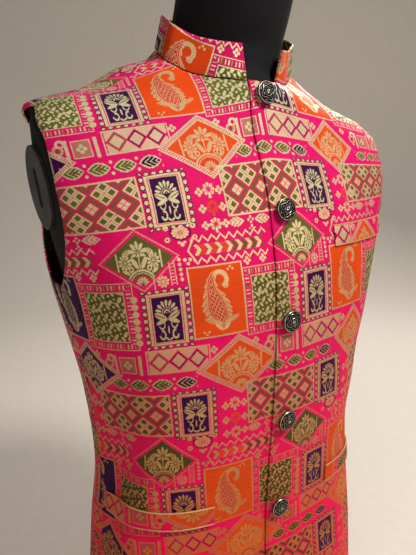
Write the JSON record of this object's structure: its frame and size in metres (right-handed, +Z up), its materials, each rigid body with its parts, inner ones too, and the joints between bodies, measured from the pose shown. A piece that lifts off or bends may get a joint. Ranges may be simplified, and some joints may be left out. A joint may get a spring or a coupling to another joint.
{
  "type": "nehru jacket on dress form",
  "caption": "Sleeveless hip-length jacket with a stand collar, buttoned down the front, with welt pockets, on a limbless dress form that stands on its flat underside.",
  "frame": {"origin": "middle of the dress form's flat underside", "axes": "+Z up, the garment faces -Y, +X is the wearer's left"},
  "size_m": [0.4206, 0.2612, 0.8318],
  "materials": {
    "brocade": "woven silk brocade, soft sheen, multicolour pattern with pale gold thread on a magenta ground",
    "brocade_welt": "the same brocade with a thin pale gold piped edge",
    "form_cover": "matte black cover, smooth",
    "button_metal": "antique silver, dark in the recesses of its relief",
    "plate_metal": "dark grey, satin"
  },
  "bodies": {
    "root": {"front_left": "brocade", "front_right": "brocade", "back": "brocade", "collar": "brocade", "welt_pocket_right": "brocade_welt", "welt_pocket_left": "brocade_welt", "welt_chest_left": "brocade_welt", "button_1": "button_metal", "button_2": "button_metal", "button_3": "button_metal", "button_4": "button_metal", "button_5": "button_metal", "form_torso": "form_cover", "form_neck_cap": "form_cover", "arm_plate_right": "plate_metal", "arm_plate_left": "plate_metal"}
  },
  "joints": []
}
